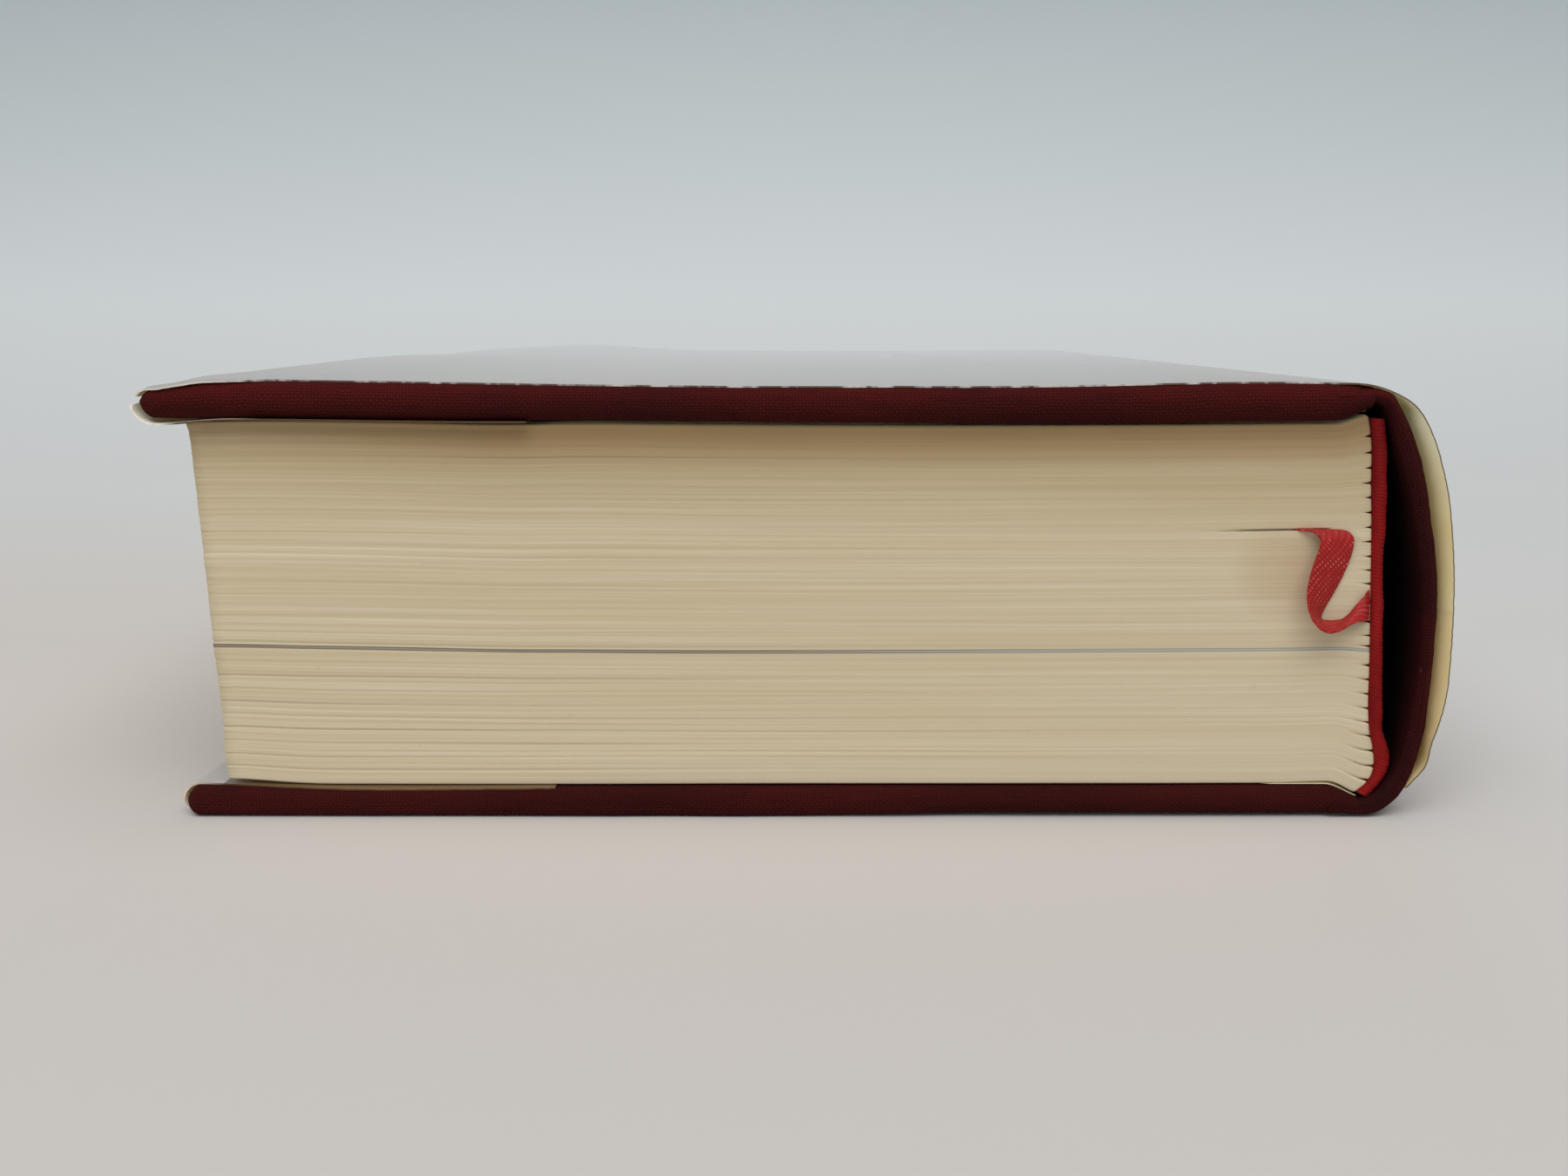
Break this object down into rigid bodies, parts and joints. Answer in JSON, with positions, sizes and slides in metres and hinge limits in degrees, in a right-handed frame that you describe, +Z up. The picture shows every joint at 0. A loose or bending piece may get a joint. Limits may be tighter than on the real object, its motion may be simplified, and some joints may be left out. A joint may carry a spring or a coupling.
{
  "type": "hardcover book",
  "caption": "Thick case-bound book lying flat on its back cover, with cloth-covered boards, hollow back, headbands, ribbon marker and a plain paper dust jacket; both covers open.",
  "frame": {"origin": "middle of the underside, on the surface the book lies on", "axes": "+X from fore-edge to spine, +Y from head to tail, +Z up out of the front cover"},
  "size_m": [0.1541, 0.218, 0.052],
  "materials": {
    "page_paper": "matte",
    "endpaper": "matte",
    "lining_paper": "matte",
    "band_cloth": "satin",
    "ribbon_cloth": "satin",
    "spine_card": "matte",
    "binders_board": "matte",
    "book_cloth": "matte",
    "jacket_paper": "satin"
  },
  "bodies": {
    "book_block": {"text_block": "page_paper", "front_flyleaf": "endpaper", "rear_flyleaf": "endpaper", "spine_lining": "lining_paper", "headband": "band_cloth", "tailband": "band_cloth", "ribbon_marker": "ribbon_cloth", "spine_inlay": "spine_card", "spine_cloth": "book_cloth", "jacket_spine": "jacket_paper"},
    "front_cover": {"front_board": "binders_board", "front_cloth": "book_cloth", "front_pastedown": "endpaper", "jacket_front": "jacket_paper"},
    "back_cover": {"rear_board": "binders_board", "rear_cloth": "book_cloth", "rear_pastedown": "endpaper", "jacket_rear": "jacket_paper"}
  },
  "joints": [
    {"name": "front_cover_hinge", "type": "hinge", "parent": "book_block", "child": "front_cover", "pos_m": [0.0666, 0, 0.04985], "axis": [0, 1, 0], "range_deg": [0, 180], "deforming": ["spine_cloth", "jacket_spine"]},
    {"name": "back_cover_hinge", "type": "hinge", "parent": "book_block", "child": "back_cover", "pos_m": [0.0687, 0, 0.00215], "axis": [0, -1, 0], "range_deg": [0, 179.9], "deforming": ["spine_cloth", "jacket_spine"]}
  ]
}
